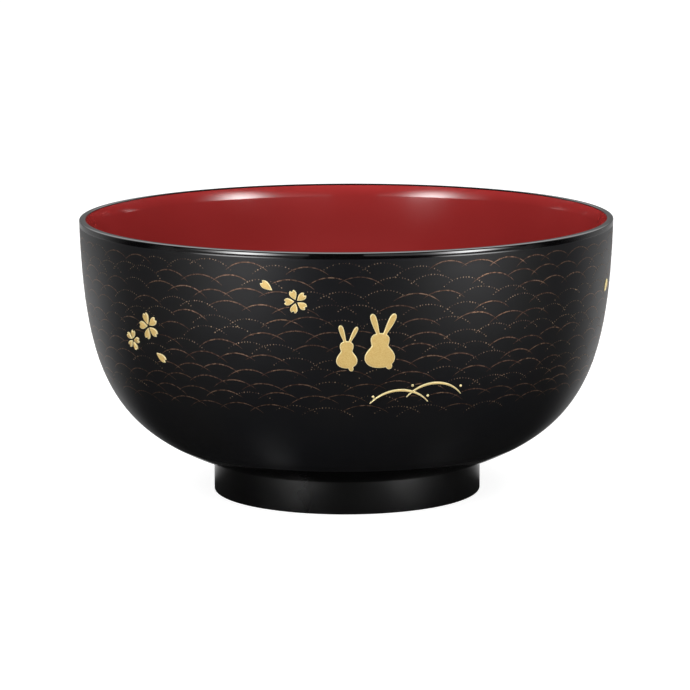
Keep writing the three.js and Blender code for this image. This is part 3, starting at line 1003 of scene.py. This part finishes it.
def wood_finish(bowl):
    """Turned wood: growth rings off the bowl's axis, crossed by fine fibres."""
    colours = bowl.colours
    material, tree, shader = new_finish("Turned Wood")
    place = own_place(tree)
    moved = node(tree, "ShaderNodeMapping", {"Vector": place, "Location": (0.02, 0.09, 0.0)}).outputs[0]
    rings = node(tree, "ShaderNodeTexWave", {
        "Vector": moved, "Scale": 110.0, "Distortion": 2.5, "Detail": 3.0, "Detail Scale": 0.6},
        wave_type="RINGS", rings_direction="X").outputs[1]
    drawn_out = node(tree, "ShaderNodeMapping", {"Vector": place, "Scale": (0.06, 1.0, 1.0)}).outputs[0]
    fibres = noise(tree, drawn_out, 2600, 3)
    ringed = number(tree, "MULTIPLY", rings, 1 - FIBRE_SHARE)
    share = number(tree, "MULTIPLY_ADD", fibres, FIBRE_SHARE, ringed)
    feed(
        tree, shader,
        base_color=blended(tree, share, rgba(colours.wood_ring), rgba(colours.wood)),
        roughness=ranged(tree, fibres, 0.2, 0.8, 0.5, 0.75),
        normal=bump(tree, fibres, 0.3, FIBRE_HEIGHT * MM))
    return material


def gold_finish(bowl):
    """Gold powder: bright and dark grains, paler along the edge of each motif."""
    name = "Gold Powder"
    if name in bpy.data.materials:
        return bpy.data.materials[name]
    colours = bowl.colours
    material, tree, shader = new_finish(name)
    powder = use_group(tree, powder_group(), grain_scale=5200, cloud_scale=700)
    depth = node(tree, "ShaderNodeAttribute", attribute_name="depth").outputs["Fac"]
    edge = ranged(tree, depth, PALE_START * MM, bowl.gold.pale_edge, PALE_SHARE, 0, smooth=True)
    grains = blended(
        tree, ranged(tree, powder["Grain"], 0.25, 0.75), rgba(colours.gold_deep), rgba(colours.gold))
    feed(
        tree, shader,
        base_color=blended(tree, edge, grains, rgba(colours.gold_pale)),
        metallic=GOLD_METALLIC, roughness=ranged(tree, powder["Grain"], 0.2, 0.8, 0.42, 0.6),
        normal=bump(tree, powder["Height"], 0.25, GRAIN_HEIGHT * MM))
    return material


def print_finish(name, dark, light, lightest, metallic):
    """Printed metal powder whose tone changes from wave to wave, up to the light colour at the lightest."""
    material, tree, shader = new_finish(name)
    powder = use_group(tree, powder_group(), grain_scale=1900, cloud_scale=900)
    tone = node(tree, "ShaderNodeAttribute", attribute_name="tone").outputs["Fac"]
    bright = number(tree, "MULTIPLY", tone, ranged(tree, powder["Grain"], 0.3, 0.72, 0.12, 1), clamp=True)
    feed(
        tree, shader,
        base_color=blended(tree, ranged(tree, bright, 0.15, lightest), rgba(dark), rgba(light)),
        metallic=metallic, roughness=ranged(tree, powder["Grain"], 0.2, 0.8, 0.38, 0.55),
        specular_ior_level=SATIN_SPECULAR,
        normal=bump(tree, powder["Height"], 0.2, GRAIN_HEIGHT * MM))
    return material


# Operators


class BowlStep:
    """What the bowl's operators share."""
    bl_options = {"REGISTER", "UNDO"}


class TurnWood(BowlStep, bpy.types.Operator):
    """Turn the wooden core and the foot ring that hides under the coats"""
    bl_idname = "lacquer_bowl.turn_wood"
    bl_label = "Core and Foot Ring"

    def execute(self, context):
        bowl = context.scene.lacquer_bowl
        shape, wall = bowl.shape, BowlWall(bowl.shape)
        gap = BOND_GAP * MM
        depth = shape.coat + gap
        top = shape.height - depth
        seat = wall.outer(0, depth)[0][1]
        bore = shape.foot_radius - shape.foot_wall + depth
        spigot = bore - SPIGOT_GAP * MM
        bottom = seat - shape.spigot
        outside = wall.outer(np.linspace(0, wall.share_at(wall.outer, depth, top), WALL_STEPS + 1), depth)
        inside = wall.inside(depth, top - shape.band_inside)
        core = np.concatenate((
            ((0, bottom), (spigot, bottom), (spigot, seat)), outside,
            wall.at_height(wall.inner, depth, top), inside[::-1]))
        material = wood_finish(bowl)
        finished("turned_core", spun(core, closed=False), material, "wood_core", "bowl_core")
        outer = shape.foot_radius - depth
        ring = ((bore, depth), (outer, depth), (outer, seat - SEAT_GAP * MM), (bore, seat - SEAT_GAP * MM))
        finished("turned_foot_ring", spun(ring), material, "wood_core", "foot_ring")
        return {"FINISHED"}


class RedLining(BowlStep, bpy.types.Operator):
    """Coat the inside with red lacquer"""
    bl_idname = "lacquer_bowl.red_lining"
    bl_label = "Red Lining"

    def execute(self, context):
        bowl = context.scene.lacquer_bowl
        shape, wall = bowl.shape, BowlWall(bowl.shape)
        top = shape.height - shape.coat - shape.band_inside
        section = np.concatenate((wall.inside(shape.coat, top), wall.inside(0, top)[::-1]))
        finished(
            "red_lining", spun(section, closed=False), red_finish(bowl), "vermilion_lacquer", "inner_lacquer")
        return {"FINISHED"}


class BlackCoats(BowlStep, bpy.types.Operator):
    """Coat the belly in satin black, and the lip, foot and underside in gloss black"""
    bl_idname = "lacquer_bowl.black_coats"
    bl_label = "Black Coats"

    def execute(self, context):
        bowl = context.scene.lacquer_bowl
        shape, wall = bowl.shape, BowlWall(bowl.shape)
        self.belly(bowl, shape, wall)
        gloss = gloss_finish(bowl)
        self.lip(gloss, shape, wall)
        self.foot(gloss, foot_finish(bowl), shape, wall)
        return {"FINISHED"}

    def belly(self, bowl, shape, wall):
        top = shape.height - shape.coat - shape.band_outside
        shares = np.linspace(0, wall.share_at(wall.outer, 0, top), WALL_STEPS + 1)
        section = np.concatenate((wall.outer(shares, 0), wall.outer(shares[::-1], shape.coat)))
        finished("satin_belly", spun(section), satin_finish(bowl), "black_satin_lacquer", "outer_lacquer")

    def lip(self, gloss, shape, wall):
        coat = shape.coat
        top = shape.height - coat
        outside, inside = top - shape.band_outside, top - shape.band_inside
        section = np.concatenate((
            wall.at_height(wall.outer, 0, outside),
            corner(wall.at_height(wall.outer, coat, top)[0] - (0, shape.lip_crown), coat, 0),
            corner(wall.at_height(wall.inner, coat, top)[0], coat, 90),
            wall.at_height(wall.inner, 0, inside),
            wall.at_height(wall.inner, coat, inside),
            wall.at_height(wall.inner, coat, top),
            wall.at_height(wall.outer, coat, top),
            wall.at_height(wall.outer, coat, outside)))
        finished("gloss_lip", spun(section), gloss, "black_gloss_lacquer", "rim_lacquer")

    def foot(self, gloss, satin, shape, wall):
        coat = shape.coat
        outer, inner = shape.foot_radius, shape.foot_radius - shape.foot_wall
        top = shape.foot_height
        seat = wall.outer(0, coat + BOND_GAP * MM)[0][1]
        recess = seat - shape.spigot - BOND_GAP * MM
        section = np.concatenate((
            corner((inner + coat, coat), coat, 180), corner((outer - coat, coat), coat, 270),
            ((outer, top), (outer - coat, top), (outer - coat, coat), (inner + coat, coat),
             (inner + coat, recess), (inner, recess))))
        finished("satin_foot", spun(section), satin, "black_gloss_lacquer", "foot_lacquer")
        edge = inner - BOND_GAP * MM
        section = ((0, recess - coat), (edge, recess - coat), (edge, recess), (0, recess))
        finished(
            "gloss_underside", spun(section, closed=False), gloss, "black_gloss_lacquer", "underside_lacquer")


class GoldRabbits(BowlStep, bpy.types.Operator):
    """Raise the two gold rabbits on the front"""
    bl_idname = "lacquer_bowl.gold_rabbits"
    bl_label = "Rabbits"

    def execute(self, context):
        gold_pieces(context, rabbit_motifs)
        return {"FINISHED"}


class GoldMound(BowlStep, bpy.types.Operator):
    """Raise the grass mound and its drops of dew below the rabbits"""
    bl_idname = "lacquer_bowl.gold_mound"
    bl_label = "Grass Mound"

    def execute(self, context):
        gold_pieces(context, mound_motifs)
        return {"FINISHED"}


class GoldBlossoms(BowlStep, bpy.types.Operator):
    """Raise the blossoms and the loose petals round the bowl"""
    bl_idname = "lacquer_bowl.gold_blossoms"
    bl_label = "Blossoms"

    def execute(self, context):
        gold_pieces(context, blossom_motifs)
        return {"FINISHED"}


class PrintWaves(BowlStep, bpy.types.Operator):
    """Print the bronze wave lines and dotted waves on the belly"""
    bl_idname = "lacquer_bowl.print_waves"
    bl_label = "Waves"

    def execute(self, context):
        bowl = context.scene.lacquer_bowl
        wall, colours = BowlWall(bowl.shape), bowl.colours
        motifs = [*rabbit_motifs(wall), *mound_motifs(wall), *blossom_motifs(wall)]
        lines = print_finish(
            "Bronze Line", colours.bronze, colours.bronze_light, lightest=1.0, metallic=0.9)
        rows = list(wave_plan(bowl.waves, wall))
        whole = joined([joined(wave_lines(row, bowl.waves, wall, motifs)) for row in rows])
        finished("wave_lines", whole, lines, "gold_powder")
        dots = print_finish("Beige Dot", colours.bronze, colours.beige, lightest=0.6, metallic=0.75)
        draw = random.Random(bowl.waves.seed + 1)
        whole = joined([joined(wave_dots(row, bowl.waves, wall, motifs, draw)) for row in rows])
        finished("wave_dots", whole, dots, "gold_powder")
        return {"FINISHED"}


class SetStage(BowlStep, bpy.types.Operator):
    """Set up the floor, the lamps, the surroundings and the camera"""
    bl_idname = "lacquer_bowl.set_stage"
    bl_label = "Stage"

    def execute(self, context):
        scene = context.scene
        bowl = scene.lacquer_bowl
        self.floor(scene, bowl)
        self.surroundings(scene)
        for angle, share in KEY_LAMPS:
            self.lamp(scene, bowl.stage, math.radians(angle), share)
        for angles in PANELS:
            self.panel(scene, bowl.stage, *(math.radians(angle) for angle in angles))
        self.camera(scene, bowl.stage)
        scene.view_settings.view_transform = "Standard"
        return {"FINISHED"}

    def floor(self, scene, bowl):
        """A white floor that keeps the bowl's shadow; to reflections it shows painted pools of light, which
        the lacquer mirrors.
        """
        bm = bmesh.new()
        bmesh.ops.create_circle(bm, cap_ends=True, segments=FLOOR_SEGMENTS, radius=FLOOR_RADIUS)
        material, tree = self.light_material("Pale Floor")
        material.cycles.emission_sampling = "NONE"
        rays = node(tree, "ShaderNodeLightPath").outputs
        seen = number(tree, "MAXIMUM", rays["Is Camera Ray"], rays["Is Transmission Ray"])
        matt = node(tree, "ShaderNodeBsdfDiffuse", {"Color": rgba(bowl.colours.floor)}).outputs[0]
        shaded = node(tree, "ShaderNodeBsdfDiffuse", {"Color": SHADOW_GREY}).outputs[0]
        glow = node(tree, "ShaderNodeEmission", {"Strength": bowl.stage.floor_glow}).outputs[0]
        white = node(tree, "ShaderNodeAddShader", {0: shaded, 1: glow}).outputs[0]
        # Painted pools of light: an emission that only glossy rays see
        painted_pools = node(tree, "ShaderNodeEmission", {"Strength": self.painted_pools(tree)}).outputs[0]
        plain = node(tree, "ShaderNodeMixShader", {0: seen, 1: matt, 2: white}).outputs[0]
        whole = node(tree, "ShaderNodeMixShader", {0: rays["Is Glossy Ray"], 1: plain, 2: painted_pools})
        node(tree, "ShaderNodeOutputMaterial", {"Surface": whole.outputs[0]})
        self.staged(scene, "floor", bm, material)

    def light_material(self, name):
        """A new material with an empty node tree."""
        material = bpy.data.materials.new(name)
        material.use_nodes = True
        material.node_tree.nodes.clear()
        return material, material.node_tree

    def staged(self, scene, name, bm, material, location=(0, 0, 0), turned=0, shown=True):
        """Makes a piece of the stage of a mesh."""
        mesh = bpy.data.meshes.new(name)
        bm.to_mesh(mesh)
        bm.free()
        mesh.materials.append(material)
        piece = bpy.data.objects.new(name, mesh)
        piece.location = location
        piece.rotation_euler = (0, 0, turned)
        piece.visible_camera = shown
        scene.collection.objects.link(piece)

    def painted_pools(self, tree):
        """White floor behind the bowl and painted pools of light on the floor, which only reflections see."""
        place = own_place(tree)
        x, y, _ = node(tree, "ShaderNodeSeparateXYZ", {0: place}).outputs
        angle = number(tree, "ARCTAN2", x, number(tree, "MULTIPLY", y, -1.0))
        reach = node(tree, "ShaderNodeVectorMath", {0: place}, operation="LENGTH").outputs["Value"]

        def window(value, start, full, fade, end):
            rise = ranged(tree, value, start, full, smooth=True)
            return number(tree, "MULTIPLY", rise, ranged(tree, value, fade, end, 1, 0, smooth=True))

        turned = number(tree, "ABSOLUTE", angle)
        pool = number(
            tree, "MULTIPLY", ranged(tree, turned, *FLOOR_BEHIND, smooth=True),
            ranged(tree, reach, *FLOOR_FADE, smooth=True))
        # Each painted pool of light is a window in angle and reach, added to the white floor behind
        for left, right, share, reaches, strength in PAINTED_POOLS:
            left, right = (window(angle, *map(math.radians, side)) for side in (left, right))
            sides = number(tree, "MULTIPLY_ADD", right, share, left)
            light = number(tree, "MULTIPLY", sides, window(reach, *reaches))
            pool = number(tree, "MULTIPLY_ADD", light, strength, pool)
        return pool

    def surroundings(self, scene):
        """A studio with a white back, a dark front and light from above."""
        world = bpy.data.worlds.new("Studio")
        scene.world = world
        world.use_nodes = True
        tree = world.node_tree
        tree.nodes.clear()
        rays = node(tree, "ShaderNodeLightPath").outputs
        glossy = rays["Is Glossy Ray"]
        way = node(tree, "ShaderNodeTexCoord").outputs["Generated"]
        _, back, up = node(tree, "ShaderNodeSeparateXYZ", {0: way}).outputs
        behind = ranged(tree, back, *WORLD_BEHIND, smooth=True)
        low = number(tree, "MULTIPLY", behind, ranged(tree, up, *WORLD_LOW, smooth=True))
        low = number(tree, "MULTIPLY_ADD", low, glossy, low)
        above = ranged(tree, up, *WORLD_ABOVE, smooth=True)
        above = number(tree, "MULTIPLY", above, ranged(tree, glossy, *ABOVE_MIRRORED))
        studio = number(tree, "MAXIMUM", low, above)
        seen = number(tree, "MAXIMUM", rays["Is Camera Ray"], rays["Is Transmission Ray"])
        strength = number(tree, "MAXIMUM", seen, studio)
        light = node(tree, "ShaderNodeBackground", {"Strength": strength}).outputs[0]
        node(tree, "ShaderNodeOutputWorld", {"Surface": light})

    def lamp(self, scene, stage, angle, share):
        """A large soft lamp above the camera, which the lacquer doesn't mirror."""
        data = bpy.data.lights.new("key", "AREA")
        data.shape = "SQUARE"
        data.size = KEY_SIZE
        data.energy = share * stage.key_radiance * math.pi * data.size**2
        lamp = bpy.data.objects.new("key", data)
        lamp.location = (KEY_DISTANCE * math.sin(angle), -KEY_DISTANCE * math.cos(angle), KEY_HEIGHT)
        aim = Vector((0, 0, KEY_AIM)) - lamp.location
        lamp.rotation_euler = aim.to_track_quat("-Z", "Y").to_euler()
        lamp.visible_camera = False
        lamp.visible_glossy = False
        scene.collection.objects.link(lamp)

    def panel(self, scene, stage, start, end, middle):
        """A low panel of light between two angles from the front, brightest at a third angle."""
        turned = (start + end) / 2
        width = 2 * PANEL_DISTANCE * math.tan((end - start) / 2)
        bm = bmesh.new()
        bmesh.ops.create_grid(
            bm, x_segments=1, y_segments=1, size=0.5,
            matrix=Matrix.Rotation(math.pi / 2, 4, "X") @ Matrix.Diagonal((width, PANEL_HEIGHT, 1, 1)))
        material, tree = self.light_material("Panel Light")
        along, _, up = node(tree, "ShaderNodeSeparateXYZ", {0: own_place(tree)}).outputs
        offset = number(tree, "SUBTRACT", along, PANEL_DISTANCE * math.tan(middle - turned))
        spread = number(tree, "POWER", number(tree, "DIVIDE", offset, PANEL_CORE), 2.0)
        core = number(tree, "EXPONENT", number(tree, "MULTIPLY", spread, -1.0))
        glow = number(tree, "MULTIPLY_ADD", core, stage.panel_radiance, PANEL_GLOW)
        outward = number(tree, "MULTIPLY", along, math.copysign(1, turned))
        for value, size, fade in (
                (up, PANEL_HEIGHT, PANEL_TOP_FADE), (outward, width, PANEL_END_FADE)):
            glow = number(
                tree, "MULTIPLY", glow, ranged(tree, value, size / 2 - fade, size / 2, 1, 0, smooth=True))
        light = node(tree, "ShaderNodeEmission", {"Strength": glow})
        node(tree, "ShaderNodeOutputMaterial", {"Surface": light.outputs[0]})
        away = Vector((math.sin(turned), -math.cos(turned), 0)) * PANEL_DISTANCE
        location = away + Vector((0, 0, PANEL_HEIGHT / 2 + PANEL_LIFT))
        self.staged(scene, "panel", bm, material, location, turned, shown=False)

    def camera(self, scene, stage):
        data = bpy.data.cameras.new("camera")
        data.sensor_width = 36
        data.lens = stage.lens
        data.shift_x = stage.shift
        camera = bpy.data.objects.new("camera", data)
        away = FRONT * math.cos(stage.elevation) + Vector((0, 0, math.sin(stage.elevation)))
        camera.location = Vector((0, 0, stage.target)) + away * stage.distance
        facing = (-away).to_track_quat("-Z", "Y").to_matrix() @ Matrix.Rotation(stage.roll, 3, "Z")
        camera.rotation_euler = facing.to_euler()
        scene.collection.objects.link(camera)
        scene.camera = camera


class BowlPanel(bpy.types.Panel):
    """Lists the steps that build the bowl and the values they use"""
    bl_idname = "VIEW3D_PT_lacquer_bowl"
    bl_label = "Lacquer Bowl"
    bl_space_type = "VIEW_3D"
    bl_region_type = "UI"
    bl_category = "Bowl"

    def draw(self, context):
        bowl = context.scene.lacquer_bowl
        for step in STEPS:
            self.layout.operator(step.bl_idname)
        for group in (bowl.shape, bowl.gold, bowl.waves, bowl.colours, bowl.stage):
            box = self.layout.box()
            for name in group.__annotations__:
                box.prop(group, name)


STEPS = (TurnWood, RedLining, BlackCoats, GoldRabbits, GoldMound, GoldBlossoms, PrintWaves, SetStage)
CLASSES = (
    BowlShape, GoldRelief, WaveLines, BowlColours, BowlStage, LacquerBowl, *STEPS, BowlPanel)


def register():
    for cls in CLASSES:
        bpy.utils.register_class(cls)
    bpy.types.Scene.lacquer_bowl = PointerProperty(type=LacquerBowl)


def unregister():
    del bpy.types.Scene.lacquer_bowl
    for cls in reversed(CLASSES):
        bpy.utils.unregister_class(cls)


def main():
    register()
    bpy.ops.lacquer_bowl.turn_wood()
    bpy.ops.lacquer_bowl.red_lining()
    bpy.ops.lacquer_bowl.black_coats()
    bpy.ops.lacquer_bowl.gold_rabbits()
    bpy.ops.lacquer_bowl.gold_mound()
    bpy.ops.lacquer_bowl.gold_blossoms()
    bpy.ops.lacquer_bowl.print_waves()
    bpy.ops.lacquer_bowl.set_stage()


if __name__ == "__main__":
    main()
